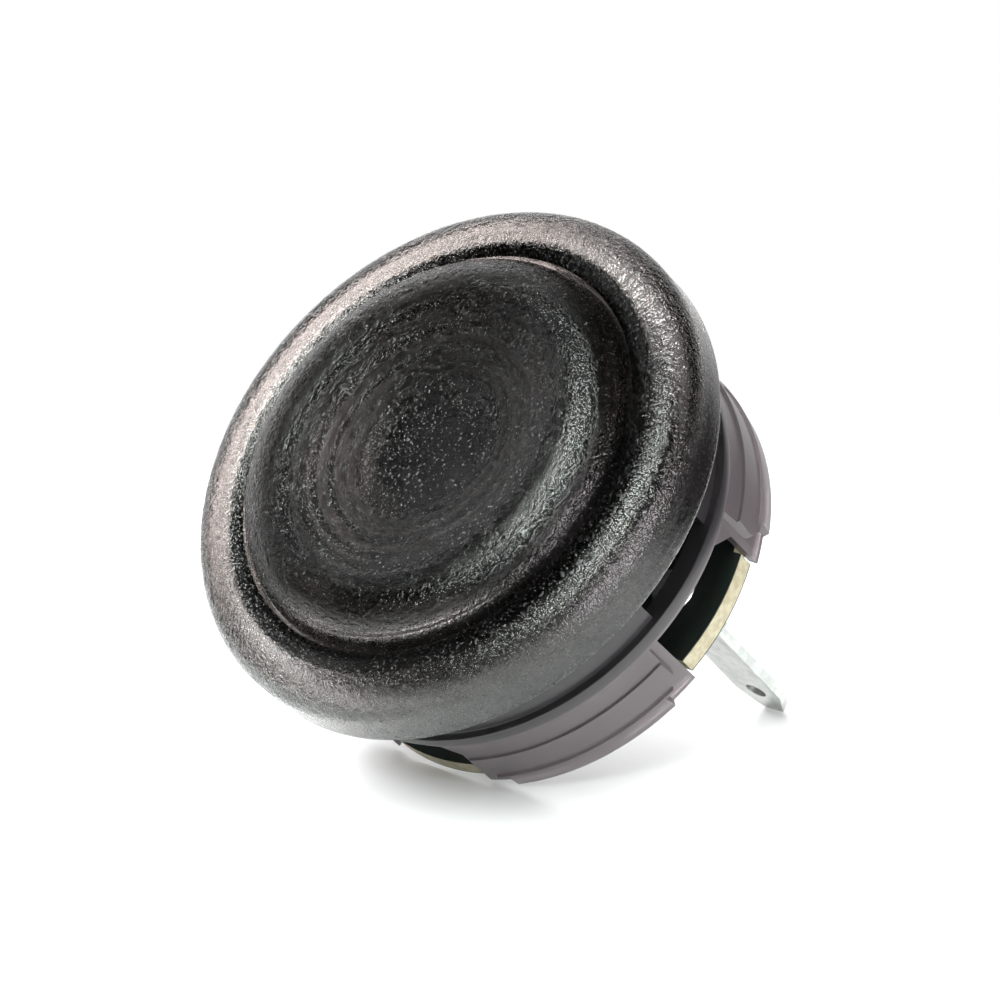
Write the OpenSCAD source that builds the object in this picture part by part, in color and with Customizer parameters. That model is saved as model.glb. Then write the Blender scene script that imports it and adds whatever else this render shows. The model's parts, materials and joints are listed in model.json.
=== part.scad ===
// Low-depth snap-in arcade button with a low-profile key switch on a round board.
// Frame: +Z is the button's axis and points out of the plunger.
// The origin is on the axis, in the plane where the rim seats on the panel.

/* [Rim] */
// Reach of the rim past the barrel, all round
rim_overhang = 1.6; // [1.4:0.1:3]
// Height of the rim above the panel
rim_h = 3.6; // [3.2:0.1:4.5]
// Radius of the rounding on the rim's outer top edge
rim_outer_round = 1.7; // [1.2:0.1:1.8]
// Radius of the rounding from the rim's crest down to the bore
rim_inner_round = 1.5; // [1.3:0.1:2]
// Width of the crest between the two roundings
rim_crest_w = 0.2; // [0.1:0.05:0.5]
// Rounding of the rim's lower outer edge
rim_foot_round = 0.3; // [0.2:0.05:0.4]
// Wall of the rim round the channel in its underside
rim_wall = 0.8; // [0.7:0.05:1]

/* [Barrel] */
// Diameter over the mid band and the tabs
barrel_d = 23.8; // [22:0.1:30]
// Wall of the barrel at the mid band
barrel_wall = 1; // [0.9:0.05:1.1]
// Depth of the barrel below the panel seat
barrel_depth = 8.12; // [8:0.1:9.2]
// Depth of the neck recess below the mid band's diameter
neck_recess = 0.4; // [0.2:0.05:0.5]
// Distance from the panel seat to the mid band
band_drop = 3.1; // [3:0.1:3.4]
// Height of the mid band's full-diameter rib
band_rib_h = 0.55; // [0.4:0.05:0.7]
// Height of the whole mid band
band_h = 1.1; // [1:0.05:1.3]

/* [Snap tabs] */
// Width of one raised tab pad
pad_w = 10.4; // [9:0.2:10.6]
// Width of the open slot between two tabs
slot_w = 6.2; // [5.6:0.2:6.6]
// Thickness of the tab wall under the pads
tab_wall_t = 0.55; // [0.5:0.05:0.6]
// Turn of the tabs and windows from the board's axes
tab_turn = -1.5; // [-3:0.5:3]
// Depth of the middle ledge below the panel seat
middle_ledge_drop = 5.2; // [4.9:0.1:5.5]
// Depth of the lower ledge below the panel seat
lower_ledge_drop = 7.02; // [6.7:0.1:7.2]
// Width of the middle and lower ledges
ledge_w = 0.16; // [0.1:0.02:0.2]
// Rounding of a pad's lower corners
pad_round = 0.9; // [0.5:0.1:1]
// Width of each upper window
window_w = 5; // [4:0.2:5.6]
// Height of the bridge left between an upper window and the rim
window_bridge_h = 0.5; // [0.3:0.1:0.8]

/* [Plunger] */
// Height of the plunger's crest above the panel seat
crest_h = 5; // [4.6:0.1:5.4]
// Rounding of the plunger's shoulder
shoulder_round = 2.5; // [2:0.1:2.8]
// Depth of the dish in the plunger's face
dish_depth = 0.85; // [0.5:0.05:1]
// Thickness of the plunger's face at the middle
face_t = 1.3; // [1.1:0.1:1.5]
// Wall of the plunger's skirt
skirt_t = 0.9; // [0.8:0.05:1]
// Radial clearance between the plunger and the rim's bore
slide_gap = 0.08; // [0.05:0.01:0.1]
// Step from the barrel's bore in to the plunger's bore
guide_step = 0.42; // [0.36:0.02:0.5]
// Drop of the skirt's lower edge below the panel seat
skirt_drop = 1; // [0.8:0.1:1.1]
// Travel of the plunger
travel = 2.5; // [2.2:0.1:2.6]
// Diameter of the plunger's centre post
post_d = 5.8; // [5.6:0.1:6]

/* [Switch] */
// Side of the switch base where it stands on the board
base_side = 13.8; // [13.6:0.1:14]
// Height of the switch base below its flange
base_h = 2.2; // [2:0.1:2.3]
// Reach of the flange past the switch base, all round
flange_reach = 0.6; // [0.5:0.05:0.7]
// Thickness of the flange
flange_t = 0.9; // [0.8:0.1:1]
// Step from the switch base's side in to the cover's foot
cover_foot_step = 0.3; // [0.2:0.05:0.4]
// Step from the switch base's side in to the cover's top
cover_top_step = 1; // [0.8:0.05:1]
// Height of the switch cover above the flange
cover_h = 2.7; // [2.6:0.1:2.8]
// Wall of the switch housings
switch_wall = 0.9; // [0.8:0.05:1]
// Length of one arm of the stem's cross
cross_l = 4; // [3.9:0.05:4.1]
// Thickness of one arm of the stem's cross
cross_t = 1.2; // [1.1:0.05:1.3]
// Coil diameter of the switch spring, over the wire
spring_d = 3.9; // [3.8:0.1:4]
// Wire diameter of the switch spring
spring_wire = 0.3; // [0.25:0.05:0.3]
// Diameter of the switch base's locating post
locating_post_d = 3.4; // [3.2:0.1:3.6]

/* [Board and terminals] */
// Thickness of the circuit board
board_t = 1; // [0.8:0.1:1.2]
// Clearance round the circuit board
board_gap = 0.1; // [0.05:0.05:0.15]
// Reach of the board's ears past its edge, into the slots
ear_reach = 0.45; // [0.3:0.05:0.6]
// Width of a terminal blade
blade_w = 2.8; // [2.6:0.1:3]
// Thickness of a terminal blade
blade_t = 0.5; // [0.4:0.1:0.6]
// Reach of a terminal blade below the board
blade_l = 10.8; // [8:0.1:11]
// Gap between the switch base and the solder of a terminal
terminal_gap = 0.3; // [0.2:0.05:0.4]
// Lean of the blades out of the upright
blade_lean = 1.5; // [0:0.1:3]
// Diameter of the hole near a blade's tip
blade_hole_d = 1.1; // [1:0.1:1.5]

/* [Hidden] */
$fn = 96;

// Reach past a face, so that a cut goes right through it
past = 1;

// Housing
barrel_r = barrel_d / 2;
rim_r = barrel_r + rim_overhang;
bore_r = barrel_r - barrel_wall;
neck_r = barrel_r - neck_recess;
guide_r = bore_r - guide_step;
tab_wall_r = bore_r + tab_wall_t;
outer_crest_r = rim_r - rim_outer_round;
inner_crest_r = outer_crest_r - rim_crest_w;
guide_drop = 0.3;
band_step = 0.22;
band_bottom = -band_drop - band_h;
slot_corner = 1.25;
tab_angles = [for (i = [0:3]) 45 + 90 * i + tab_turn];
slot_angles = [for (i = [0:3]) 90 * i + tab_turn];
window_angles = [90 + tab_turn, 270 + tab_turn];

// Board, held between the seat ribs above it and the nubs below it
nub_h = 0.27;
nub_reach = 0.25;
nub_w = 3;
seat_rib_h = 1.9;
seat_rib_reach = 0.6;
seat_rib_w = 1.6;
seat_rib_offset = 3.4;
board_r = bore_r - board_gap;
board_bottom = -barrel_depth + nub_h;
board_top = board_bottom + board_t;
ear_gap = 0.2;

// Plunger
plunger_r = guide_r - slide_gap;
skirt_r = plunger_r - skirt_t;
shoulder_r = plunger_r - shoulder_round;
shoulder_z = crest_h - shoulder_round;
dish_bottom = crest_h - dish_depth;
// The dish is a sphere that runs smoothly into the shoulder's rounding
dish_rise = shoulder_round - dish_depth;
dish_r = (pow(shoulder_r, 2) + pow(dish_rise, 2) - pow(shoulder_round, 2)) / (2 * dish_depth);
join_share = dish_r / (dish_r + shoulder_round);
face_under = dish_bottom - face_t;
shoulder_under_rise = 0.15;
shoulder_under = face_under + shoulder_under_rise;
face_step_rise = 0.2;
face_steps = [4.1, 4.7, 5.6];
shoulder_step_r = 7.3;
lug_gap = 0.05;
lug_w = 3.6;
lug_side_gap = 0.15;
post_r = post_d / 2;

// Switch
base_corner = 0.8;
flange_corner = 3;
cover_corner = 1.2;
flange_side = base_side + 2 * flange_reach;
cover_side = base_side - 2 * cover_foot_step;
cover_top_side = base_side - 2 * cover_top_step;
cover_inner_side = cover_top_side - 2 * switch_wall;
flange_bottom = board_top + base_h;
flange_top = flange_bottom + flange_t;
cover_top = flange_top + cover_h;
cover_foot_h = 1.2;
cover_lip_h = 0.7;
fit_gap = 0.05;
floor_t = 0.6;
roof_t = 0.85;
floor_top = board_top + floor_t;
roof_under = cover_top - roof_t;
cavity_side = base_side - 2 * switch_wall;
opening_r = 3.3;
neck_stem_r = 3.1;
neck_over = 0.1;
stem_neck_top = cover_top + neck_over;
slider_gap = 0.5;
slider_l = cover_inner_side - 2 * slider_gap;
slider_w = 6;
press_gap = 0.2;
slider_h = cover_h + flange_t + base_h - roof_t - fit_gap - floor_t - travel - press_gap;
slider_top = roof_under - fit_gap;
slider_bottom = slider_top - slider_h;
cross_h = 2.6;
cross_top = stem_neck_top + cross_h;
socket_gap = 0.03;
socket_end_gap = 0.2;
post_end = stem_neck_top + fit_gap;
spring_pocket_top = 0.6;
spring_pocket_r = spring_d / 2 + 0.2;
spring_boss_gap = 0.35;
spring_boss_r = spring_d / 2 - spring_wire - spring_boss_gap;
spring_boss_h = 0.8;
spring_turns = 5;
spring_end_pitch = 1.1 * spring_wire;
spring_steps = 20;
spring_sides = 10;
locating_post_l = 2.6;
hole_gap = 0.05;

// Contacts
pin_w = 0.8;
pin_t = 0.3;
pin_reach = 0.7;
pin_hole_r = 0.6;
fixed_from_wall = 0.4;
fixed_x = cavity_side / 2 - fixed_from_wall;
fixed_w = 3.4;
leaf_from_fixed = 0.55;
leaf_x = fixed_x - leaf_from_fixed;
leaf_t = 0.15;
leaf_end_y = 1.2;
leaf_pin_from_wall = 1;
leaf_pin_y = leaf_pin_from_wall - cavity_side / 2;
contact_z = floor_top + fit_gap;
contact_top = flange_top - cover_lip_h - fit_gap;
contact_open_gap = 0.1;
contact_tip_r = 0.45;
pin_places = [[fixed_x, 0], [leaf_x, leaf_pin_y]];
contact_tip_l = (fixed_x - pin_t / 2 - leaf_x - leaf_t / 2 - contact_open_gap) / 2;
contact_tip_drop = 0.7;
contact_tip_z = contact_top - contact_tip_drop;
cam_gap = 0.05;
cam_w = 1;
cam_y = -2.2;

// Terminals
terminal_solder_r = 1.15;
leg_w = 1.6;
leg_y = base_side / 2 + terminal_gap + terminal_solder_r;
leg_offset = 0.75;
blade_y = leg_y - leg_offset;
leg_above = 0.5;
leg_gap = 0.05;
shoulder_step = 0.55;
shoulder_h = 2.2;
tip_chamfer_w = 0.8;
tip_chamfer_l = 1.7;
hole_from_tip = 1.9;
terminal_solder_top_r = 0.9;
terminal_solder_h = 0.42;
pin_solder_r = 0.85;
pin_solder_tip_r = 0.5;
pin_solder_h = 0.5;

// Square of side s with corners of radius r, centred
module rounded_square(s, r) {
    square([s - 2 * r, s], center = true);
    square([s, s - 2 * r], center = true);
    for (x = [-1, 1], y = [-1, 1])
        translate([x * (s / 2 - r), y * (s / 2 - r)]) circle(r);
}

// Ring between two radii and two heights
module ring(r_in, r_out, z0, z1) {
    translate([0, 0, z0])
        difference() {
            cylinder(r = r_out, h = z1 - z0);
            translate([0, 0, -past]) cylinder(r = r_in, h = z1 - z0 + 2 * past);
        }
}

// Stretches of a ring, w wide, at each of the given angles and off to the side of it by each offset
module ring_stretches(r_in, r_out, z0, z1, angles, w, offsets = [0]) {
    intersection() {
        ring(r_in, r_out, z0, z1);
        for (a = angles, side = offsets) rotate(a)
            translate([0, side - w / 2, z0 - past])
                cube([r_out + past, w, z1 - z0 + 2 * past]);
    }
}

// Half section of the channel that keeps the rim's wall even, from the neck to its outer wall
module rim_channel() {
    intersection() {
        translate([neck_r, -past]) square([rim_r - rim_wall - neck_r, rim_h]);
        union() {
            translate([neck_r, -past])
                square([rim_r - rim_wall - neck_r, rim_h - rim_outer_round + past]);
            translate([neck_r, 0]) square([outer_crest_r - neck_r, rim_h - rim_wall]);
            translate([outer_crest_r, rim_h - rim_outer_round]) circle(rim_outer_round - rim_wall);
        }
    }
}

// Half section of the rim: rounded over the crest, with a channel underneath
module rim_section() {
    difference() {
        union() {
            translate([guide_r, 0]) square([rim_r - guide_r, rim_h - rim_outer_round]);
            translate([inner_crest_r, 0]) square([outer_crest_r - inner_crest_r, rim_h]);
            translate([outer_crest_r, rim_h - rim_outer_round]) circle(rim_outer_round);
            translate([inner_crest_r, rim_h - rim_inner_round]) circle(rim_inner_round);
        }
        translate([-past, -past]) square([guide_r + past, rim_h + 2 * past]);
        rim_channel();
        difference() {
            translate([rim_r - rim_foot_round, -past]) square([2 * past, rim_foot_round + past]);
            translate([rim_r - rim_foot_round, rim_foot_round]) circle(rim_foot_round);
        }
    }
}

// Half section of the neck and the mid band
module band_section() {
    translate([guide_r, -guide_drop]) square([neck_r - guide_r, guide_drop]);
    translate([bore_r, -band_drop]) square([neck_r - bore_r, band_drop - guide_drop]);
    translate([bore_r, -band_drop - band_rib_h]) square([barrel_r - bore_r, band_rib_h]);
    translate([bore_r, band_bottom]) square([barrel_r - band_step - bore_r, band_h - band_rib_h]);
}

// Half section of the tab pads: each ledge faces up and its pad tapers back below it
module pad_section() {
    polygon([
        [bore_r, band_bottom],
        [barrel_r - band_step, band_bottom],
        [barrel_r - ledge_w, -middle_ledge_drop],
        [barrel_r, -middle_ledge_drop],
        [barrel_r - ledge_w, -lower_ledge_drop],
        [barrel_r, -lower_ledge_drop],
        [barrel_r - ledge_w, -barrel_depth],
        [bore_r, -barrel_depth],
    ]);
}

// Outline of a pad seen along its radius, with rounded lower corners
module pad_outline() {
    top = band_bottom + past;
    corner_x = pad_w / 2 - pad_round;
    corner_y = -lower_ledge_drop - ledge_w + pad_round;
    translate([-pad_w / 2, corner_y]) square([pad_w, top - corner_y]);
    translate([-corner_x, -barrel_depth - past]) square([2 * corner_x, top + barrel_depth + past]);
    for (x = [-corner_x, corner_x]) translate([x, corner_y]) circle(pad_round);
}

// Outline of the slot between two tabs, with a web across one upper corner
module slot_outline() {
    polygon([
        [-slot_w / 2, -barrel_depth - past],
        [slot_w / 2, -barrel_depth - past],
        [slot_w / 2, band_bottom - slot_corner],
        [slot_w / 2 - slot_corner, band_bottom],
        [-slot_w / 2, band_bottom],
    ]);
}

// Stands a flat outline up across the radius at angle a and draws it outwards to the radius r
module across_radius(a, r) {
    rotate(a) rotate([90, 0, 90]) linear_extrude(r) children();
}

module housing() {
    color([0.16, 0.14, 0.17, 0.85]) {
        difference() {
            rotate_extrude() {
                rim_section();
                band_section();
            }
            for (a = window_angles) rotate(a)
                translate([0, -window_w / 2, -band_drop])
                    cube([barrel_r + past, window_w, band_drop - window_bridge_h]);
        }
        // Tab walls with the slots between them
        difference() {
            ring(bore_r, tab_wall_r, -barrel_depth, band_bottom);
            for (a = slot_angles) across_radius(a, barrel_r + past) slot_outline();
        }
        // Pads with their ledges
        intersection() {
            rotate_extrude() pad_section();
            for (a = tab_angles) across_radius(a, barrel_r + past) pad_outline();
        }
        // Ribs that the board seats against, and nubs that hold it up
        ring_stretches(bore_r - seat_rib_reach, bore_r + fit_gap, board_top, board_top + seat_rib_h,
                       tab_angles, seat_rib_w, [-seat_rib_offset, seat_rib_offset]);
        ring_stretches(bore_r - nub_reach, bore_r + fit_gap, -barrel_depth, board_bottom,
                       tab_angles, nub_w);
    }
}

// Half section of the plunger's outer form, with the space round its post not yet taken out
module plunger_form() {
    join_r = shoulder_r * join_share;
    join_z = shoulder_z + (dish_bottom + dish_r - shoulder_z) * (1 - join_share);
    difference() {
        union() {
            translate([0, post_end]) square([post_r, shoulder_z - post_end]);
            translate([post_r, -skirt_drop]) square([plunger_r - post_r, shoulder_z + skirt_drop]);
            translate([0, shoulder_z]) square([join_r, join_z - shoulder_z]);
            translate([shoulder_r, shoulder_z]) circle(shoulder_round);
        }
        translate([0, dish_bottom + dish_r]) circle(dish_r, $fn = 360);
    }
}

// Half section of the space under the plunger's face, stepped in rings round the post
module plunger_hollow() {
    steps = len(face_steps);
    translate([post_r, -skirt_drop - past])
        square([skirt_r - post_r, face_under + skirt_drop + past]);
    for (i = [0:steps - 1])
        translate([face_steps[i], 0])
            square([shoulder_step_r - face_steps[i], face_under + (i + 1) * face_step_rise]);
    translate([shoulder_step_r - past, 0])
        square([skirt_r - shoulder_step_r + past, shoulder_under]);
}

module cross(l, t, z0, z1) {
    translate([-l / 2, -t / 2, z0]) cube([l, t, z1 - z0]);
    translate([-t / 2, -l / 2, z0]) cube([t, l, z1 - z0]);
}

module plunger() {
    color([0.13, 0.11, 0.14, 0.85]) {
        difference() {
            rotate_extrude() difference() {
                plunger_form();
                plunger_hollow();
            }
            // Socket for the stem's cross
            cross(cross_l + 2 * socket_gap, cross_t + 2 * socket_gap, post_end - past,
                  cross_top + socket_end_gap);
        }
        // Lugs that stop under the rim
        ring_stretches(plunger_r - fit_gap, bore_r - lug_side_gap, -skirt_drop,
                       -guide_drop - lug_gap, tab_angles, lug_w);
    }
}

module circuit_board() {
    color([0.86, 0.83, 0.62])
        translate([0, 0, board_bottom])
            difference() {
                union() {
                    cylinder(r = board_r, h = board_t);
                    for (a = slot_angles) rotate(a) intersection() {
                        cylinder(r = board_r + ear_reach, h = board_t);
                        translate([0, ear_gap - slot_w / 2, 0])
                            cube([barrel_r, slot_w - 2 * ear_gap, board_t]);
                    }
                }
                translate([0, 0, -past])
                    cylinder(r = locating_post_d / 2 + hole_gap, h = board_t + 2 * past);
                for (p = pin_places)
                    translate([p[0], p[1], -past]) cylinder(r = pin_hole_r, h = board_t + 2 * past);
                for (side = [-1, 1])
                    translate([0, side * leg_y, board_t / 2])
                        cube([blade_t + 2 * leg_gap, leg_w + 2 * leg_gap, board_t + 2 * past],
                             center = true);
            }
}

module switch_base() {
    color([0.07, 0.07, 0.08])
        difference() {
            union() {
                translate([0, 0, board_top])
                    linear_extrude(base_h) rounded_square(base_side, base_corner);
                translate([0, 0, flange_bottom])
                    linear_extrude(flange_t) rounded_square(flange_side, flange_corner);
                translate([0, 0, board_top - locating_post_l])
                    cylinder(r = locating_post_d / 2, h = locating_post_l);
            }
            difference() {
                translate([0, 0, floor_top]) linear_extrude(flange_top - floor_top + past)
                    rounded_square(cavity_side, base_corner);
                translate([0, 0, floor_top - past])
                    cylinder(r = spring_boss_r, h = spring_boss_h + past);
            }
            for (p = pin_places)
                translate([p[0], p[1], board_top - past])
                    cylinder(r = pin_hole_r, h = floor_t + 2 * past);
        }
}

module switch_cover() {
    color([0.1, 0.1, 0.11])
        difference() {
            union() {
                translate([0, 0, flange_top])
                    linear_extrude(cover_foot_h) rounded_square(cover_side, cover_corner);
                translate([0, 0, flange_top])
                    linear_extrude(cover_h) rounded_square(cover_top_side, cover_corner);
                translate([0, 0, flange_top - cover_lip_h]) linear_extrude(cover_lip_h + past)
                    rounded_square(cavity_side - 2 * fit_gap, base_corner);
            }
            translate([0, 0, flange_top - cover_lip_h - past])
                linear_extrude(roof_under - flange_top + cover_lip_h + past)
                    rounded_square(cover_inner_side, base_corner);
            translate([0, 0, roof_under - past]) cylinder(r = opening_r, h = roof_t + 2 * past);
        }
}

module switch_stem() {
    pocket_top = stem_neck_top - spring_pocket_top;
    color([0.55, 0.53, 0.55])
        difference() {
            union() {
                translate([-slider_l / 2, -slider_w / 2, slider_bottom])
                    cube([slider_l, slider_w, slider_h]);
                translate([0, 0, slider_top - fit_gap])
                    cylinder(r = neck_stem_r, h = stem_neck_top - slider_top + fit_gap);
                cross(cross_l, cross_t, stem_neck_top - fit_gap, cross_top);
                // Cam that works the moving contact
                translate([0, cam_y - cam_w / 2, slider_bottom])
                    cube([leaf_x - leaf_t / 2 - cam_gap, cam_w, slider_h]);
            }
            translate([0, 0, slider_bottom - past])
                cylinder(r = spring_pocket_r, h = pocket_top - slider_bottom + past);
        }
}

// Wire swept round a helix, with its end turns closed up
module switch_spring() {
    wire_r = spring_wire / 2;
    coil_r = spring_d / 2 - wire_r;
    z0 = floor_top + wire_r;
    rise = stem_neck_top - spring_pocket_top - wire_r - z0;
    mid_pitch = (rise - 2 * spring_end_pitch) / (spring_turns - 2);
    rings = spring_turns * spring_steps;
    lifts = [
        for (i = [0:rings])
            let (turn = i / spring_steps)
            turn < 1 ? turn * spring_end_pitch
            : turn > spring_turns - 1 ? rise - (spring_turns - turn) * spring_end_pitch
            : spring_end_pitch + (turn - 1) * mid_pitch
    ];
    points = [
        for (i = [0:rings], j = [0:spring_sides - 1])
            let (a = 360 * i / spring_steps, b = 360 * j / spring_sides, r = coil_r + wire_r * cos(b))
            [r * cos(a), r * sin(a), z0 + lifts[i] + wire_r * sin(b)]
    ];
    sides = [
        for (i = [0:rings - 1], j = [0:spring_sides - 1])
            let (k = (j + 1) % spring_sides, n = i * spring_sides)
            each [[n + j, n + k, n + k + spring_sides], [n + j, n + k + spring_sides, n + j + spring_sides]]
    ];
    first = [for (j = [0:spring_sides - 1]) spring_sides - 1 - j];
    last = [for (j = [0:spring_sides - 1]) rings * spring_sides + j];
    color([0.75, 0.76, 0.78]) polyhedron(points, concat(sides, [first, last]));
}

// Pin through the switch's floor and the board
module contact_pin(x, y) {
    translate([x - pin_t / 2, y - pin_w / 2, board_bottom - pin_reach])
        cube([pin_t, pin_w, contact_z + fit_gap - board_bottom + pin_reach]);
}

module moving_contact() {
    color([0.85, 0.66, 0.33]) {
        translate([leaf_x - leaf_t / 2, leaf_pin_y - pin_w / 2, contact_z])
            cube([leaf_t, leaf_end_y - leaf_pin_y + pin_w / 2, contact_top - contact_z]);
        contact_pin(leaf_x, leaf_pin_y);
    }
}

module moving_contact_tip() {
    color([0.9, 0.75, 0.4])
        translate([leaf_x + leaf_t / 2, 0, contact_tip_z])
            rotate([0, 90, 0]) cylinder(r = contact_tip_r, h = contact_tip_l);
}

module fixed_contact() {
    color([0.85, 0.66, 0.33]) {
        translate([fixed_x - pin_t / 2, -fixed_w / 2, contact_z])
            cube([pin_t, fixed_w, contact_top - contact_z]);
        contact_pin(fixed_x, 0);
    }
}

module fixed_contact_tip() {
    color([0.9, 0.75, 0.4])
        translate([fixed_x - pin_t / 2 - contact_tip_l, 0, contact_tip_z])
            rotate([0, 90, 0]) cylinder(r = contact_tip_r, h = contact_tip_l);
}

// Face of a terminal: leg through the board, shoulders under it, then the blade
module blade_outline() {
    tip = board_bottom - blade_l;
    half = blade_w / 2;
    translate([leg_offset - leg_w / 2, board_bottom - leg_gap])
        square([leg_w, board_t + leg_above + leg_gap]);
    translate([-half - shoulder_step, board_bottom - shoulder_h])
        square([blade_w + 2 * shoulder_step, shoulder_h]);
    polygon([
        [-half, board_bottom - shoulder_h / 2],
        [-half, tip + tip_chamfer_l],
        [-half + tip_chamfer_w, tip],
        [half - tip_chamfer_w, tip],
        [half, tip + tip_chamfer_l],
        [half, board_bottom - shoulder_h / 2],
    ]);
}

// Edge of a terminal: upright down to the end of the shoulders, then leaning
module blade_side() {
    top = board_top + leg_above + past;
    bend = board_bottom - shoulder_h;
    low = board_bottom - blade_l - past;
    shift = (bend - low) * tan(blade_lean);
    half = blade_t / 2;
    polygon([
        [-half, top], [-half, bend], [-half - shift, low], [half - shift, low], [half, bend],
        [half, top],
    ]);
}

// Terminal on the side of the axis that side points to, as -1 or 1 along Y
module terminal(side) {
    bend = board_bottom - shoulder_h;
    hole_drop = blade_l - shoulder_h - hole_from_tip;
    color([0.72, 0.73, 0.75])
        translate([0, side * blade_y, 0])
            difference() {
                intersection() {
                    rotate([90, 0, 0]) translate([0, 0, -barrel_r]) linear_extrude(2 * barrel_r)
                        blade_side();
                    scale([1, side, 1]) translate([-barrel_r, 0, 0])
                        rotate([90, 0, 90]) linear_extrude(2 * barrel_r) blade_outline();
                }
                translate([0, 0, bend]) rotate([0, blade_lean, 0])
                    translate([-blade_t, 0, -hole_drop])
                        rotate([0, 90, 0]) cylinder(r = blade_hole_d / 2, h = 2 * blade_t);
            }
}

module terminal_front() { terminal(-1); }
module terminal_back() { terminal(1); }

// Solder round a terminal's leg where it comes through the board
module terminal_solder(side) {
    color([0.7, 0.71, 0.72])
        translate([0, side * leg_y, board_top])
            difference() {
                cylinder(r1 = terminal_solder_r, r2 = terminal_solder_top_r, h = terminal_solder_h);
                translate([0, 0, terminal_solder_h / 2])
                    cube([blade_t, leg_w, terminal_solder_h + 2 * past], center = true);
            }
}

module terminal_solder_front() { terminal_solder(-1); }
module terminal_solder_back() { terminal_solder(1); }

// Solder round a switch pin under the board
module pin_solder(x, y) {
    color([0.7, 0.71, 0.72])
        translate([x, y, board_bottom - pin_solder_h])
            difference() {
                cylinder(r1 = pin_solder_tip_r, r2 = pin_solder_r, h = pin_solder_h);
                translate([0, 0, pin_solder_h / 2])
                    cube([pin_t, pin_w, pin_solder_h + 2 * past], center = true);
            }
}

module pin_solder_fixed() { pin_solder(pin_places[0][0], pin_places[0][1]); }
module pin_solder_moving() { pin_solder(pin_places[1][0], pin_places[1][1]); }

housing();
plunger();
circuit_board();
switch_base();
switch_cover();
switch_stem();
switch_spring();
moving_contact();
moving_contact_tip();
fixed_contact();
fixed_contact_tip();
terminal_front();
terminal_back();
terminal_solder_front();
terminal_solder_back();
pin_solder_fixed();
pin_solder_moving();
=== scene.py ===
"""Looks of a low-depth arcade button in translucent smoke plastic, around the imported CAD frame."""

import json
from math import acos, asin, cos, degrees, pi, radians, sin, sqrt, tan

import bpy
from mathutils import Matrix, Vector, noise


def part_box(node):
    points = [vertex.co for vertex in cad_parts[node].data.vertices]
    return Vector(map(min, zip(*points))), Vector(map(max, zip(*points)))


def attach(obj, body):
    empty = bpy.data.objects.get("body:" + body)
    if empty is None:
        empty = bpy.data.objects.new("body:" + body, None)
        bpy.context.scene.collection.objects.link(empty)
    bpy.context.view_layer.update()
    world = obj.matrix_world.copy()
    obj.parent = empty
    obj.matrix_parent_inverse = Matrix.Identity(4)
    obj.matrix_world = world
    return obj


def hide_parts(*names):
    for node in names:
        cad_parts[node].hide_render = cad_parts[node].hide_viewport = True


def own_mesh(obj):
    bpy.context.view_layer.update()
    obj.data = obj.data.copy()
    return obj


MM = 0.001

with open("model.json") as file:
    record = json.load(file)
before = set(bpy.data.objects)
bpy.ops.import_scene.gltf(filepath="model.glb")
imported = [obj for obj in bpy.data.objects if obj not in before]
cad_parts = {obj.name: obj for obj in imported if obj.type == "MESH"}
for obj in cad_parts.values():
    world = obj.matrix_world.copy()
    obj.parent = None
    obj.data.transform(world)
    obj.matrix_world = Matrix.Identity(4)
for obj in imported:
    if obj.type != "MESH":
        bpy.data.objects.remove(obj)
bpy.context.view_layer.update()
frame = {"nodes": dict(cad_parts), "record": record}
nodes = frame["nodes"]

# The grain's noise would otherwise start from the clock.
noise.seed_set(7)


# ---------------------------------------------------------------- sizes
# The CAD's own sizes in millimetres, from the panel's face up, for the two mouldings that are rebuilt here.
RIM_R, RIM_H, RIM_ROUND, INNER_ROUND, FOOT_ROUND = 13.5, 3.6, 1.7, 1.5, 0.3
CREST_W, RIM_WALL, GUIDE_R, GUIDE_DROP = 0.2, 0.8, 10.48, 0.3
BARREL_R, BORE_R, NECK_R, TAB_WALL_R, BARREL_DEPTH = 11.9, 10.9, 11.5, 11.45, 8.12
BAND_DROP, BAND_RIB_H, BAND_H, BAND_STEP = 3.1, 0.55, 1.1, 0.22
MIDDLE_LEDGE, LOWER_LEDGE, LEDGE_W = 5.2, 7.02, 0.16
TAB_TURN, PAD_W, PAD_ROUND, SLOT_W, SLOT_CORNER = -1.5, 10.4, 0.9, 6.2, 1.25
WINDOW_W, BRIDGE_H = 5.0, 0.5
TAB_ANGLES = [45 + 90 * i + TAB_TURN for i in range(4)]
SLOT_ANGLES = [90 * i + TAB_TURN for i in range(4)]
WINDOW_ANGLES = [90 + TAB_TURN, 270 + TAB_TURN]
BAND_BOTTOM = -BAND_DROP - BAND_H

PLUNGER_R, SKIRT_R, SKIRT_DROP, SHOULDER_ROUND = 10.4, 9.5, 1.0, 2.5
CREST_H, DISH_DEPTH, FACE_T, SHOULDER_RISE = 5.0, 0.85, 1.3, 0.15
FACE_STEPS, SHOULDER_STEP_R, STEP_RISE = (4.1, 4.7, 5.6), 7.3, 0.2
POST_R, POST_END, CROSS_HALF, CROSS_T_HALF, SOCKET_TOP = 2.9, -0.9, 2.03, 0.63, 1.85
DISH_BOTTOM = CREST_H - DISH_DEPTH
UNDER_FACE = DISH_BOTTOM - FACE_T
TOP_STEP = UNDER_FACE + len(FACE_STEPS) * STEP_RISE

# Finish only: small edge rounds, and the fine turned ripples under the plunger's face.
EDGE, NECK_EDGE, PAD_EDGE = 0.07, 0.15, 0.035
RIPPLE, RIPPLE_PITCH = 0.1, 0.62
GRAIN_STEP = 0.1


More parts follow.
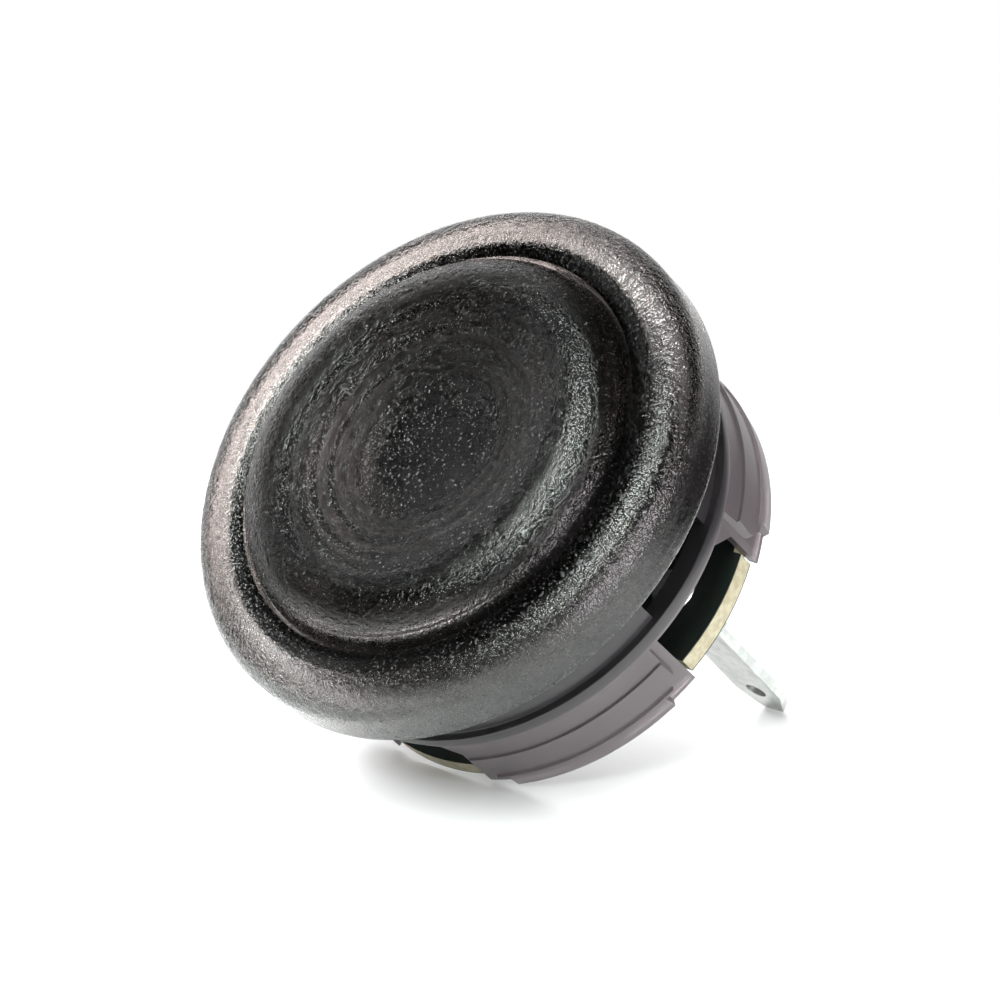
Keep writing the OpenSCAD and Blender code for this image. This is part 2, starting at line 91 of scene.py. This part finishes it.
# ---------------------------------------------------------------- node tools
class Nodes:
    """A small helper that adds shader nodes and links them."""

    def __init__(self, tree):
        self.tree = tree
        self.tree.nodes.clear()

    def add(self, kind, **sockets):
        """A new node. Sockets are given by name, with _ for a space, as a value or a link's source."""
        node = self.tree.nodes.new("ShaderNode" + kind)
        for name, value in sockets.items():
            self.put(node, name.replace("_", " "), value)
        return node

    def put(self, node, socket, value):
        target = node.inputs[socket]
        if isinstance(value, bpy.types.NodeSocket):
            self.tree.links.new(value, target)
        else:
            target.default_value = value

    def math(self, operation, a, b=0.0):
        node = self.add("Math")
        node.operation = operation
        self.put(node, 0, a)
        self.put(node, 1, b)
        return node.outputs[0]

    def times(self, a, b):
        return self.math("MULTIPLY", a, b)

    def larger(self, a, b):
        return self.math("MAXIMUM", a, b)

    def smooth(self, value, low, high, out_low=0.0, out_high=1.0):
        """value mapped smoothly from low..high to out_low..out_high, and held beyond."""
        node = self.add("MapRange", Value=value, From_Min=low, From_Max=high,
                        To_Min=out_low, To_Max=out_high)
        node.interpolation_type = "SMOOTHSTEP"
        return node.outputs["Result"]

    def mix(self, fac, a, b):
        """Colour a where fac is 0 and b where it is 1."""
        node = self.add("Mix")
        node.data_type = "RGBA"
        self.put(node, 0, fac)
        self.put(node, 6, a)
        self.put(node, 7, b)
        return node.outputs[2]

    def shape_coords(self):
        """Object coordinates in millimetres, as a vector and as x, y, z and the radius."""
        scale = self.add("VectorMath")
        scale.operation = "SCALE"
        self.put(scale, 0, self.add("TexCoord").outputs["Object"])
        self.put(scale, "Scale", 1 / MM)
        x, y, z = self.add("SeparateXYZ", Vector=scale.outputs[0]).outputs
        radius = self.math("SQRT", self.math("ADD", self.times(x, x), self.times(y, y)))
        return scale.outputs[0], x, y, z, radius

    def dot(self, vector, axis):
        node = self.add("VectorMath")
        node.operation = "DOT_PRODUCT"
        self.put(node, 0, vector)
        self.put(node, 1, axis)
        return node.outputs["Value"]

    def noise(self, vector, scale, detail=3.0, rough=0.55):
        node = self.add("TexNoise", Vector=vector, Scale=scale, Detail=detail, Roughness=rough)
        return node.outputs["Fac"]

    def bump(self, height, distance, strength=1.0):
        return self.add("Bump", Height=height, Distance=distance, Strength=strength).outputs["Normal"]


def grey(value):
    return (value, value, value, 1.0)


def darker(colour, share):
    return tuple(share * c for c in colour[:3]) + (1.0,)


def new_material(name):
    material = bpy.data.materials.new(name)
    material.use_nodes = True
    return material, Nodes(material.node_tree)


def finish_material(n, shader, volume=None):
    out = n.add("OutputMaterial", Surface=shader)
    if volume is not None:
        n.put(out, "Volume", volume)


# ---------------------------------------------------------------- materials
SMOKE = (0.45, 0.42, 0.408, 1.0)
# Near-black frost colour on the housing's neck: painted shade, standing in for the shadow under the rim.
NECK_PAINTED_SHADE = (0.03, 0.028, 0.03, 1.0)
TAB_FROST = (0.3, 0.258, 0.272, 1.0)
FACE_FROST = (0.6, 0.5, 0.46, 1.0)
POLISHED, STIPPLE_LOW, FROSTED = 0.06, 0.12, 0.3
STIPPLE_BUMP = 0.07 * MM
SKIRT_RING_R, LINE_OUT = 8.6, 0.1


def barrel_frost_and_painted_shade(n, z, _radius):
    """Where the housing is frosted, in which colour and how cloudy: near black on the neck, which is painted
    shade under the rim, paler on the tabs.
    """
    low, high = BAND_BOTTOM - 0.1, BAND_BOTTOM + 0.3
    # The neck's near black is painted shade from the rim above; the tabs' purple-grey is the frost's own
    # colour.
    colour = n.mix(n.smooth(z, low, high, 1.0, 0.0), NECK_PAINTED_SHADE, TAB_FROST)
    return n.smooth(z, -GUIDE_DROP, 0.0, 1.0, 0.0), colour, n.smooth(z, low, high, 0.25, 0.75)


def face_frost(n, z, radius):
    """The same for the plunger: under its face, most of all in a line outside each turned step."""
    lines = 0.0
    for step in (*FACE_STEPS, SHOULDER_STEP_R, SKIRT_RING_R):
        away = n.math("ABSOLUTE", n.math("SUBTRACT", radius, step + LINE_OUT))
        lines = n.larger(n.smooth(away, 0.1, 0.32, 1.0, 0.1), lines)
    under = n.times(n.smooth(z, TOP_STEP + 0.15, TOP_STEP + 0.25, 1.0, 0.0),
                    n.smooth(z, UNDER_FACE - 0.25, UNDER_FACE - 0.15))
    ring = n.times(n.smooth(radius, POST_R + 0.1, POST_R + 0.3),
                   n.smooth(radius, SKIRT_R - 0.1, SKIRT_R, 1.0, 0.0))
    return n.times(lines, n.times(under, ring)), FACE_FROST, 0.45


def smoke_plastic(name, density, rough, inner_r, inner_z, frosting_with_shade):
    """Smoke plastic: stippled outside, polished inside inner_r and below inner_z, partly frosted, with
    painted shade in the frost colour on the housing's neck.
    """
    material, n = new_material(name)
    coords, _x, _y, z, radius = n.shape_coords()
    outside = n.larger(n.smooth(radius, inner_r - 0.05, inner_r + 0.05),
                       n.smooth(z, inner_z - 0.05, inner_z + 0.05))
    # The frost function gives where the plastic is frosted, the frost colour (painted shade on the housing's
    # neck), and how cloudy it is.
    frosted, frost_and_shade_colour, cloud = frosting_with_shade(n, z, radius)
    stipple = n.noise(coords, 6.5, 2.0, 0.6)
    grained = n.times(outside, n.smooth(z, 1.2, 2.4, 0.25, 1.0))
    stippled = n.times(outside, n.smooth(stipple, 0.45, 0.75, STIPPLE_LOW, rough))
    frosty = n.times(frosted, FROSTED)
    roughness = n.larger(stippled, n.larger(POLISHED, frosty))
    shader = n.add("BsdfPrincipled", IOR=1.5, Roughness=roughness,
                   Base_Color=n.mix(frosted, grey(0.97), frost_and_shade_colour),
                   Transmission_Weight=n.math("SUBTRACT", 1.0, n.times(frosted, cloud)),
                   Normal=n.bump(stipple, STIPPLE_BUMP, grained))
    volume = n.add("VolumeAbsorption", Color=SMOKE, Density=density)
    finish_material(n, shader.outputs[0], volume.outputs[0])
    return material


def plain_plastic(name, colour, rough, specular=0.5):
    """Moulded plastic with a fine bump and a little variation in its colour."""
    material, n = new_material(name)
    coords, *_ = n.shape_coords()
    fine = n.noise(coords, 14.0, 3.0)
    normal = n.bump(fine, 0.02 * MM)
    shader = n.add("BsdfPrincipled", Base_Color=n.mix(fine, colour, darker(colour, 0.8)),
                   Roughness=rough, Specular_IOR_Level=specular, Normal=normal)
    finish_material(n, shader.outputs[0])
    return material


def metal(name, colour, rough, brushed):
    """Drawn or plated metal: stains in its colour, drawn lines in its roughness, brushed mm deep."""
    material, n = new_material(name)
    coords, *_ = n.shape_coords()
    stretch = n.add("Mapping", Vector=coords)
    stretch.inputs["Scale"].default_value = (1.0, 1.0, 0.15)
    lines = n.noise(stretch.outputs[0], 16.0, 4.0)
    stains = n.noise(coords, 1.3, 4.0)
    shader = n.add("BsdfPrincipled",
                   Base_Color=n.mix(n.smooth(stains, 0.35, 0.7), colour, darker(colour, 0.72)),
                   Metallic=1.0, Roughness=n.smooth(lines, 0.3, 0.7, rough, rough + 0.15),
                   Normal=n.bump(lines, brushed * MM))
    finish_material(n, shader.outputs[0])
    return material


BOARD_DARK, BOARD_PALE = (0.3, 0.27, 0.17, 1.0), (0.42, 0.4, 0.28, 1.0)
BOARD_LAYER, BOARD_MASK = (0.2, 0.18, 0.1, 1.0), (0.012, 0.02, 0.016, 1.0)


def board_material():
    """Bare layered fibreglass on the edge, dark mask on both faces."""
    material, n = new_material("fibreglass")
    coords, _x, _y, z, _radius = n.shape_coords()
    weave = n.noise(coords, 3.0, 4.0)
    layer = n.add("TexWave", Vector=coords, Scale=2.2, Distortion=1.5, Detail=2.0)
    layer.bands_direction = "Z"
    low, high = (corner.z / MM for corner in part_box("circuit_board"))
    mask = n.larger(n.smooth(z, low + 0.04, low + 0.08, 1.0, 0.0),
                    n.smooth(z, high - 0.08, high - 0.04))
    edge = n.mix(n.smooth(weave, 0.3, 0.7), BOARD_DARK, BOARD_PALE)
    edge = n.mix(n.times(layer.outputs["Fac"], 0.25), edge, BOARD_LAYER)
    colour = n.mix(mask, edge, BOARD_MASK)
    shader = n.add("BsdfPrincipled", Base_Color=colour, Roughness=0.5, Subsurface_Weight=0.15,
                   Subsurface_Scale=0.4 * MM, Normal=n.bump(weave, 0.03 * MM))
    finish_material(n, shader.outputs[0])
    return material


MATERIALS = {
    "smoke_plastic": smoke_plastic("smoke_rim", density=2300.0, rough=0.34, inner_r=RIM_R - RIM_WALL + 0.15,
                                   inner_z=RIM_H - RIM_WALL + 0.15, frosting_with_shade=barrel_frost_and_painted_shade),
    "smoke_plastic_dark": smoke_plastic("smoke_plunger", density=2800.0, rough=0.3, inner_r=SKIRT_R + 0.2,
                                        inner_z=DISH_BOTTOM - 0.25, frosting_with_shade=face_frost),
    "fibreglass_board": board_material(),
    "black_plastic": plain_plastic("switch_black", (0.012, 0.012, 0.013, 1.0), 0.5, 0.3),
    "dark_plastic": plain_plastic("switch_dark", (0.02, 0.02, 0.022, 1.0), 0.35, 0.4),
    "stem_plastic": plain_plastic("stem_dark", (0.02, 0.019, 0.02, 1.0), 0.35, 0.4),
    "spring_steel": metal("spring_steel", (0.6, 0.6, 0.62, 1.0), 0.25, 0.01),
    "contact_alloy": metal("contact_alloy", (0.72, 0.45, 0.2, 1.0), 0.3, 0.01),
    "contact_tip": metal("contact_gold", (0.9, 0.62, 0.22, 1.0), 0.2, 0.005),
    "tinned_brass": metal("tin_plate", (0.62, 0.64, 0.62, 1.0), 0.3, 0.03),
    "solder": metal("solder", (0.66, 0.67, 0.68, 1.0), 0.22, 0.02),
}
for part in frame["record"]["subparts"]:
    nodes[part["node"]].data.materials.clear()
    nodes[part["node"]].data.materials.append(MATERIALS[part["material_slot"]])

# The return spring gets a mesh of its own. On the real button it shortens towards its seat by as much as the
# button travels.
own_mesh(nodes["switch_spring"])


# ---------------------------------------------------------------- mesh tools
def link(name, data):
    """A new object in the scene with this mesh, light or camera data."""
    made = bpy.data.objects.new(name, data)
    bpy.context.scene.collection.objects.link(made)
    return made


def arc(centre, radius, start, end, step):
    """Points on an arc in the radius-height plane, from start to end degrees, about step apart."""
    count = max(2, round(abs(radians(end - start)) * radius / step))
    angles = [radians(start + (end - start) * i / count) for i in range(count + 1)]
    return [(centre[0] + radius * cos(a), centre[1] + radius * sin(a)) for a in angles]


def eased(corners, radius, steps=3):
    """The corners of a path, each rounded off with a small radius."""
    path = []
    for before, corner, after in zip(corners, corners[1:], corners[2:]):
        here = Vector(corner)
        back, ahead = Vector(before) - here, Vector(after) - here
        turn_angle = back.angle(ahead)
        cut = min(radius / tan(turn_angle / 2), back.length / 2, ahead.length / 2)
        start, end = here + back.normalized() * cut, here + ahead.normalized() * cut
        for i in range(steps + 1):
            t = i / steps
            path.append(tuple(start.lerp(here, t).lerp(here.lerp(end, t), t)))
    return [tuple(corners[0]), *path, tuple(corners[-1])]


def revolve(name, profile, segments):
    """A closed profile in millimetres turned about Z. A point on the axis becomes one vertex."""
    mesh = bpy.data.meshes.new(name)
    if sum(a[0] * b[1] - b[0] * a[1] for a, b in zip(profile, profile[1:] + profile[:1])) < 0:
        profile = profile[::-1]
    verts, rings = [], []
    turns = [2 * pi * i / segments for i in range(segments)]
    for radius, height in profile:
        if radius < 1e-6:
            rings.append([len(verts)] * segments)
            verts.append((0, 0, height * MM))
        else:
            rings.append(list(range(len(verts), len(verts) + segments)))
            verts += [(radius * cos(a) * MM, radius * sin(a) * MM, height * MM) for a in turns]
    faces = []
    for low, high in zip(rings, rings[1:] + rings[:1]):
        for i in range(segments):
            j = (i + 1) % segments
            corners = list(dict.fromkeys((low[i], low[j], high[j], high[i])))
            if len(corners) > 2:
                faces.append(corners)
    mesh.from_pydata(verts, [], faces)
    return link(name, mesh)


def prism(name, outline, depth, place):
    """A flat outline in millimetres drawn out along its own Z by depth, then put in place."""
    mesh = bpy.data.meshes.new(name)
    count = len(outline)
    verts = [(x * MM, y * MM, z * MM) for z in (0, depth) for x, y in outline]
    faces = [list(range(count))[::-1], list(range(count, 2 * count))]
    faces += [(i, (i + 1) % count, (i + 1) % count + count, i + count) for i in range(count)]
    mesh.from_pydata(verts, [], faces)
    mesh.transform(place)
    return link(name, mesh)


def block(name, radii, heights, angle, width, offset=0.0):
    """A stretch of a ring between two radii and two heights, width across, at an angle."""
    sides = [offset + width * (i / 6 - 0.5) for i in range(7)]
    outline = [(sqrt(radii[1] ** 2 - y * y), y) for y in sides]
    outline += [(sqrt(radii[0] ** 2 - y * y), y) for y in reversed(sides)]
    place = Matrix.Rotation(radians(angle), 4, "Z") @ Matrix.Translation((0, 0, heights[0] * MM))
    return prism(name, outline, heights[1] - heights[0], place)


def across_radius(angle):
    """Stands an outline up across the radius at an angle, and draws it outwards."""
    upright = Matrix(((0, 0, 1, 0), (1, 0, 0, 0), (0, 1, 0, 0), (0, 0, 0, 1)))
    return Matrix.Rotation(radians(angle), 4, "Z") @ upright


def combine(piece, others, operation):
    """Joins, cuts or intersects piece with each of the others, which are used up."""
    for other in others:
        modifier = piece.modifiers.new("combine", "BOOLEAN")
        modifier.solver = "MANIFOLD"
        modifier.operation = operation
        modifier.object = other
        result = bpy.data.meshes.new_from_object(piece.evaluated_get(bpy.context.evaluated_depsgraph_get()))
        piece.modifiers.clear()
        piece.data = result
        bpy.data.objects.remove(other)
    return piece


def dress(piece, node, sharp=32.0):
    """piece stands for a CAD node, with its body and material. Edges over sharp degrees stay sharp."""
    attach(piece, "button" if node == "plunger" else "base")
    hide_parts(node)
    slot = next(p["material_slot"] for p in frame["record"]["subparts"] if p["node"] == node)
    piece.data.materials.clear()
    piece.data.materials.append(MATERIALS[slot])
    piece.data.shade_smooth()
    piece.data.set_sharp_from_angle(angle=radians(sharp))


def grain(piece, depth, cell, chosen):
    """Leather grain: vertices for which chosen(point in mm) is above 0 move along their normals."""
    mesh = piece.data
    normals = [v.normal.copy() for v in mesh.vertices]
    for vertex, normal in zip(mesh.vertices, normals):
        point = vertex.co / MM
        amount = chosen(point)
        if amount > 0:
            spot = point / cell
            warp = noise.noise_vector(spot * 0.6) * 0.5
            wrinkle = 1 - 2 * abs(noise.noise(spot + warp))
            pebble = noise.noise(spot * 1.7 + Vector((7.1, 3.3, 5.7)))
            vertex.co += normal * (depth * MM * amount * (0.6 * wrinkle + 0.5 * pebble - 0.3))
    mesh.update()


def ramp(value, low, high):
    """0 below low, 1 above high, smooth between."""
    t = min(max((value - low) / (high - low), 0), 1)
    return t * t * (3 - 2 * t)


# ---------------------------------------------------------------- housing
HOUSING_SEGMENTS, PAD_SEGMENTS = 900, 360
HOUSING_GRAIN, HOUSING_GRAIN_CELL, GRAIN_FADE = 0.03, 0.36, (1.5, 2.1)
RIB_IN, RIB_W, RIB_SIDE, RIB_HEIGHTS = 0.6, 1.6, 3.4, (-6.85, -4.95)
NUB_IN, NUB_W, NUB_TOP = 0.25, 3.0, -7.85
# How far a piece that is joined on reaches into its wall.
BITE = 0.05


def rim_profile():
    """The rim from the plunger's bore over the crest to its lower outer edge."""
    crest = RIM_R - RIM_ROUND
    inner = crest - CREST_W
    lip = degrees(acos((GUIDE_R - inner) / INNER_ROUND))
    return (arc((inner, RIM_H - INNER_ROUND), INNER_ROUND, lip - 4, 90, GRAIN_STEP)
            + arc((crest, RIM_H - RIM_ROUND), RIM_ROUND, 90, 0, GRAIN_STEP)
            + [(RIM_R, RIM_H - RIM_ROUND - 0.25), (RIM_R, 1.1)]
            + arc((RIM_R - FOOT_ROUND, FOOT_ROUND), FOOT_ROUND, 0, -90, GRAIN_STEP))


def channel_profile():
    """Under the rim: its foot, the channel that keeps its wall even, and the top of the neck."""
    crest, centre = RIM_R - RIM_ROUND, RIM_H - RIM_ROUND
    channel_r, channel_top = RIM_R - RIM_WALL, RIM_H - RIM_WALL
    return (eased([(RIM_R - FOOT_ROUND, 0), (channel_r, 0), (channel_r, centre - 0.2)], EDGE)[1:-1]
            + arc((crest, centre), RIM_ROUND - RIM_WALL, 0, 90, GRAIN_STEP)
            + eased([(crest, channel_top), (NECK_R, channel_top), (NECK_R, 0)], NECK_EDGE)[1:-1])


def build_housing():
    """The turned rim and barrel, cut by the windows and slots, with the tabs' pads, ribs and nubs."""
    ledge = BARREL_R - BAND_STEP
    barrel = [(NECK_R, 1), (NECK_R, -BAND_DROP), (BARREL_R, -BAND_DROP),
              (BARREL_R, -BAND_DROP - BAND_RIB_H), (ledge, -BAND_DROP - BAND_RIB_H), (ledge, BAND_BOTTOM),
              (TAB_WALL_R, BAND_BOTTOM), (TAB_WALL_R, -BARREL_DEPTH), (BORE_R, -BARREL_DEPTH),
              (BORE_R, -GUIDE_DROP), (GUIDE_R, -GUIDE_DROP), rim_profile()[0]]
    profile = rim_profile() + channel_profile() + eased(barrel, EDGE)[1:-1]
    housing = revolve("housing_body", profile, HOUSING_SEGMENTS)
    windows = [prism("window", [(-WINDOW_W / 2, -BAND_DROP), (WINDOW_W / 2, -BAND_DROP),
                                (WINDOW_W / 2, -BRIDGE_H), (-WINDOW_W / 2, -BRIDGE_H)],
                     BARREL_R + 1, across_radius(a)) for a in WINDOW_ANGLES]
    half = SLOT_W / 2
    slot = [(-half, -BARREL_DEPTH - 1), (half, -BARREL_DEPTH - 1), (half, BAND_BOTTOM - SLOT_CORNER),
            (half - SLOT_CORNER, BAND_BOTTOM), (-half, BAND_BOTTOM)]
    slots = [prism("slot", slot, BARREL_R + 1, across_radius(a)) for a in SLOT_ANGLES]
    combine(housing, windows + slots, "DIFFERENCE")
    pads = [build_pad(a) for a in TAB_ANGLES]
    ribs = [block("seat_rib", (BORE_R - RIB_IN, BORE_R + BITE), RIB_HEIGHTS, a, RIB_W, side)
            for a in TAB_ANGLES for side in (-RIB_SIDE, RIB_SIDE)]
    nubs = [block("nub", (BORE_R - NUB_IN, BORE_R + BITE), (-BARREL_DEPTH, NUB_TOP), a, NUB_W)
            for a in TAB_ANGLES]
    combine(housing, pads + ribs + nubs, "UNION")
    grain(housing, HOUSING_GRAIN, HOUSING_GRAIN_CELL, lambda p: ramp(p.z, *GRAIN_FADE))
    dress(housing, "housing")


def build_pad(angle):
    """One raised pad: each ledge faces up, and the pad tapers back below it."""
    root = TAB_WALL_R - 0.2
    tip = BARREL_R - LEDGE_W
    section = [(root, BAND_BOTTOM + 0.1), (BARREL_R - BAND_STEP, BAND_BOTTOM + 0.1),
               (tip, -MIDDLE_LEDGE), (BARREL_R, -MIDDLE_LEDGE), (tip, -LOWER_LEDGE),
               (BARREL_R, -LOWER_LEDGE), (tip, -BARREL_DEPTH), (root, -BARREL_DEPTH)]
    ring = revolve("pad", eased([section[-1], *section, section[0]], PAD_EDGE)[1:-1], PAD_SEGMENTS)
    side, foot = PAD_W / 2, -LOWER_LEDGE - LEDGE_W
    low = side - PAD_ROUND
    outline = ([(side, BAND_BOTTOM + 0.05), (-side, BAND_BOTTOM + 0.05)]
               + arc((-low, foot + PAD_ROUND), PAD_ROUND, 180, 270, GRAIN_STEP)
               + [(-low, -BARREL_DEPTH - 1), (low, -BARREL_DEPTH - 1)]
               + arc((low, foot + PAD_ROUND), PAD_ROUND, -90, 0, GRAIN_STEP))
    return combine(ring, [prism("pad_cut", outline, BARREL_R + 1, across_radius(angle))], "INTERSECT")


# ---------------------------------------------------------------- plunger
PLUNGER_SEGMENTS = 620
PLUNGER_GRAIN, PLUNGER_GRAIN_CELL, SHOULDER_FADE = 0.03, 0.3, (2.8, 4.2)
LUG_W, LUG_TOP, LUG_GAP = 3.6, -0.35, 0.15


def rippled(path):
    """The face's underside with its turned rings: shallow ripples on the level stretches."""
    done = []
    for (r0, z0), (r1, z1) in zip(path, path[1:]):
        done.append((r0, z0))
        level = abs(z1 - z0) < 1e-6
        if level and z0 > 2 and r1 - r0 > 0.2:
            count = round((r1 - r0) / 0.08)
            for i in range(1, count):
                r = r0 + (r1 - r0) * i / count
                done.append((r, z0 + RIPPLE * (1 - cos(2 * pi * (r - r0) / RIPPLE_PITCH)) / 2))
    return done + [path[-1]]


def build_plunger():
    """The turned cap, skirt and post, with the stem's cross socket and the guide lugs."""
    shoulder_r, shoulder_z = PLUNGER_R - SHOULDER_ROUND, CREST_H - SHOULDER_ROUND
    rise = SHOULDER_ROUND - DISH_DEPTH
    dish_r = (shoulder_r ** 2 + rise ** 2 - SHOULDER_ROUND ** 2) / (2 * DISH_DEPTH)
    lean = degrees(asin(shoulder_r / (dish_r + SHOULDER_ROUND)))
    steps = [(POST_R, POST_END), (POST_R, UNDER_FACE)]
    for i, radius in enumerate(FACE_STEPS):
        steps += [(radius, UNDER_FACE + i * STEP_RISE), (radius, UNDER_FACE + (i + 1) * STEP_RISE)]
    shoulder_under = UNDER_FACE + SHOULDER_RISE
    steps += [(SHOULDER_STEP_R, TOP_STEP), (SHOULDER_STEP_R, shoulder_under),
              (SKIRT_R, shoulder_under), (SKIRT_R, -SKIRT_DROP), (PLUNGER_R, -SKIRT_DROP),
              (PLUNGER_R, shoulder_z)]
    profile = ([(0, POST_END)] + rippled(eased(steps, EDGE)[:-1])
               + arc((shoulder_r, shoulder_z), SHOULDER_ROUND, 0, 90 + lean, GRAIN_STEP)
               + arc((0, DISH_BOTTOM + dish_r), dish_r, -90 + lean, -90, GRAIN_STEP)[1:])
    plunger = revolve("plunger_body", profile, PLUNGER_SEGMENTS)
    arms = []
    for long_x in (True, False):
        x, y = (CROSS_HALF, CROSS_T_HALF) if long_x else (CROSS_T_HALF, CROSS_HALF)
        arms.append(prism("arm", [(-x, -y), (x, -y), (x, y), (-x, y)], SOCKET_TOP - POST_END + 1,
                          Matrix.Translation((0, 0, (POST_END - 1) * MM))))
    combine(plunger, arms, "DIFFERENCE")
    lug_radii = (PLUNGER_R - BITE, BORE_R - LUG_GAP)
    combine(plunger, [block("lug", lug_radii, (-SKIRT_DROP, LUG_TOP), a, LUG_W) for a in TAB_ANGLES], "UNION")
    grain(plunger, PLUNGER_GRAIN, PLUNGER_GRAIN_CELL,
          lambda p: ramp(p.z, *SHOULDER_FADE) if p.xy.length > 7.0 or p.z > DISH_BOTTOM - 0.25 else 0)
    dress(plunger, "plunger", 40.0)


build_housing()
build_plunger()


# ---------------------------------------------------------------- camera
VIEW_AZIMUTH, VIEW_ELEVATION, VIEW_ROLL = -21.0, 45.2, -46.4
VIEW_DISTANCE = 196.4 * MM
VIEW_AIM = Vector((-0.29, -2.06, -0.21)) * MM
LENS = 151.9

turn = (Matrix.Rotation(radians(VIEW_AZIMUTH), 4, "Z")
        @ Matrix.Rotation(radians(90 - VIEW_ELEVATION), 4, "X")
        @ Matrix.Rotation(radians(VIEW_ROLL), 4, "Z"))
camera_data = bpy.data.cameras.new("camera")
camera_data.lens = LENS
camera_data.sensor_width = 36.0
camera_data.clip_start = 0.01
camera = link("camera", camera_data)
camera.matrix_world = Matrix.Translation(VIEW_AIM + turn.to_3x3() @ Vector((0, 0, VIEW_DISTANCE))) @ turn
bpy.context.scene.camera = camera
VIEW_RIGHT, VIEW_UP, VIEW_BACK = (turn.to_3x3().col[i] for i in range(3))


# ---------------------------------------------------------------- floor
# The button lies on the lower corners of its tabs on the -X side and on both blade tips.
TAB_REACH = 11.09 * MM
TAB_CORNER = Vector((-TAB_REACH, 0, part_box("housing")[0].z))
blade_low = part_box("terminal_front")[0]
BLADE_TIP = Vector((blade_low.x, 0, blade_low.z))
along = (BLADE_TIP - TAB_CORNER).normalized()
FLOOR_UP = Vector((0, 1, 0)).cross(along).normalized()
if FLOOR_UP.z < 0:
    FLOOR_UP = -FLOOR_UP
FLOOR_GAP = 0.02 * MM
FLOOR_SIZE = 0.16


def build_floor():
    """A pale floor that fades out to the white background, and is clear from below."""
    mesh = bpy.data.meshes.new("floor")
    h = FLOOR_SIZE
    mesh.from_pydata([(-h, -h, 0), (h, -h, 0), (h, h, 0), (-h, h, 0)], [], [(0, 1, 2, 3)])
    floor = link("floor", mesh)
    x_axis = Vector((0, 1, 0))
    rotation = Matrix((x_axis, FLOOR_UP.cross(x_axis), FLOOR_UP)).transposed().to_4x4()
    height = BLADE_TIP.dot(FLOOR_UP) - FLOOR_GAP
    floor.matrix_world = Matrix.Translation(FLOOR_UP * height) @ rotation
    material, n = new_material("floor")
    coords, _x, _y, _z, radius = n.shape_coords()
    seen = n.times(n.smooth(radius, 24.0, 60.0, 1.0, 0.0),
                   n.math("SUBTRACT", 1.0, n.add("NewGeometry").outputs["Backfacing"]))
    surface = n.add("BsdfPrincipled", Base_Color=grey(0.86), Roughness=0.35, Specular_IOR_Level=0.5)
    mixed = n.add("MixShader", Fac=seen)
    n.put(mixed, 1, n.add("BsdfTransparent").outputs[0])
    n.put(mixed, 2, surface.outputs[0])
    finish_material(n, mixed.outputs[0])
    mesh.materials.append(material)


build_floor()


# ---------------------------------------------------------------- light
def area_light(name, toward, distance, size, power, colour=(1, 1, 1), up=(0, 0, 1)):
    """A soft box of this size, width and height, that shines at the button from the direction toward."""
    data = bpy.data.lights.new(name, "AREA")
    data.shape = "RECTANGLE"
    data.size, data.size_y = size
    data.energy = power
    data.color = colour
    light = link(name, data)
    back = Vector(toward).normalized()
    right = Vector(up).cross(back).normalized()
    light.matrix_world = (Matrix.Translation(back * distance)
                          @ Matrix((right, back.cross(right), back)).transposed().to_4x4())
    return light


BEHIND = (0.6 * VIEW_UP - 0.6 * VIEW_RIGHT - VIEW_BACK).normalized()
area_light("key", (0.2, -0.2, 0.95), 0.35, size=(0.12, 0.34), power=2.8, colour=(0.93, 1.0, 0.97),
           up=(1, 0.4, 0))
area_light("side", (-0.05, -1.0, 0.0), 0.35, size=(0.3, 0.14), power=1.6, colour=(1.0, 0.95, 1.0))
back = area_light("back", BEHIND, 0.3, size=(0.35, 0.35), power=5.0)
back.visible_camera = False
back.visible_glossy = False


# ---------------------------------------------------------------- world
# Strengths away from the white background: on plain surfaces, and of the floor's side in gloss.
AMBIENT, FLOOR_GLOW = 0.45, 0.1


def build_world():
    """White for the camera. Clear and glossy surfaces see it behind the object, dimmer over the floor."""
    world = bpy.data.worlds.new("studio")
    bpy.context.scene.world = world
    world.use_nodes = True
    n = Nodes(world.node_tree)
    ray = n.add("LightPath")
    direction = n.add("TexCoord").outputs["Generated"]
    through = n.times(ray.outputs["Is Transmission Ray"],
                      n.smooth(n.dot(direction, BEHIND), 0.55, 0.85))
    mirrored = n.smooth(n.dot(direction, VIEW_BACK), -0.8, -0.5, 1.0, 0.0)
    behind = n.larger(through, mirrored)
    below = n.smooth(n.dot(direction, FLOOR_UP), -0.3, 0.1, FLOOR_GLOW, 0.0)
    bent = n.larger(ray.outputs["Is Transmission Ray"], ray.outputs["Is Glossy Ray"])
    seen = n.times(bent, n.larger(behind, below))
    ambient = n.times(n.math("SUBTRACT", 1.0, bent), AMBIENT)
    strength = n.larger(ray.outputs["Is Camera Ray"], n.math("ADD", seen, ambient))
    sky = n.add("Background", Color=grey(1.0), Strength=strength)
    n.add("OutputWorld", Surface=sky.outputs[0])


build_world()

scene = bpy.context.scene
scene.view_settings.view_transform = "Standard"
scene.cycles.use_denoising = True
BOUNCES = 9
scene.cycles.max_bounces = BOUNCES
scene.cycles.transmission_bounces = BOUNCES
scene.cycles.transparent_max_bounces = BOUNCES
